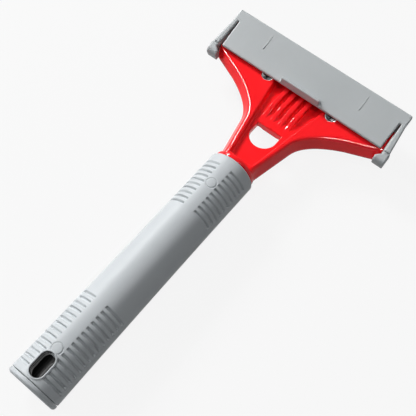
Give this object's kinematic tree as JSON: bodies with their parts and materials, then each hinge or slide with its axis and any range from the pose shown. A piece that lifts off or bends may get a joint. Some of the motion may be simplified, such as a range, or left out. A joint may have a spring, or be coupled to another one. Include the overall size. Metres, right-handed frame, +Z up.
{
  "type": "hand scraper",
  "caption": "Hand scraper with a round grooved grip, a fan-shaped head that clamps a wide flat blade, and a slip-on blade guard with sprung side hooks.",
  "frame": {"origin": "middle of the part's bounding box, at its lowest point", "axes": "+X forward along the grip's axis towards the blade, +Y to the left, +Z up through the head's top face"},
  "size_m": [0.2238, 0.1152, 0.0269],
  "materials": {
    "head_red": "glossy moulded",
    "grip_grey": "satin",
    "guard_grey": "matte moulded",
    "core_black": "satin",
    "screw_black": "black oxide",
    "zinc": "zinc plated",
    "blade_steel": "ground"
  },
  "bodies": {
    "handle": {"head_frame": "head_red", "grip_sleeve": "grip_grey", "handle_core": "core_black", "end_cap": "grip_grey", "grip_pin_front": "grip_grey", "grip_pin_rear": "grip_grey", "blade": "blade_steel", "clamp_jaw": "head_red", "screw_washer_left": "zinc", "screw_washer_right": "zinc", "clamp_nut_left": "zinc", "clamp_nut_right": "zinc"},
    "guard": {"guard_shell": "guard_grey", "guard_catch_left": "guard_grey", "guard_catch_right": "guard_grey"},
    "screw_left": {"clamp_screw_left": "screw_black"},
    "screw_right": {"clamp_screw_right": "screw_black"}
  },
  "joints": [
    {"name": "guard_slide", "type": "slide", "parent": "handle", "child": "guard", "axis": [0.9542, 0, 0.299], "range_m": [0, 0.032], "deforming": ["guard_catch_left", "guard_catch_right"]},
    {"name": "screw_left_turn", "type": "hinge", "parent": "handle", "child": "screw_left", "pos_m": [0.08724, 0.0208, 0.0173], "axis": [-0.299, 0, 0.9542], "continuous": true},
    {"name": "screw_right_turn", "type": "hinge", "parent": "handle", "child": "screw_right", "pos_m": [0.08724, -0.0208, 0.0173], "axis": [-0.299, 0, 0.9542], "continuous": true}
  ]
}
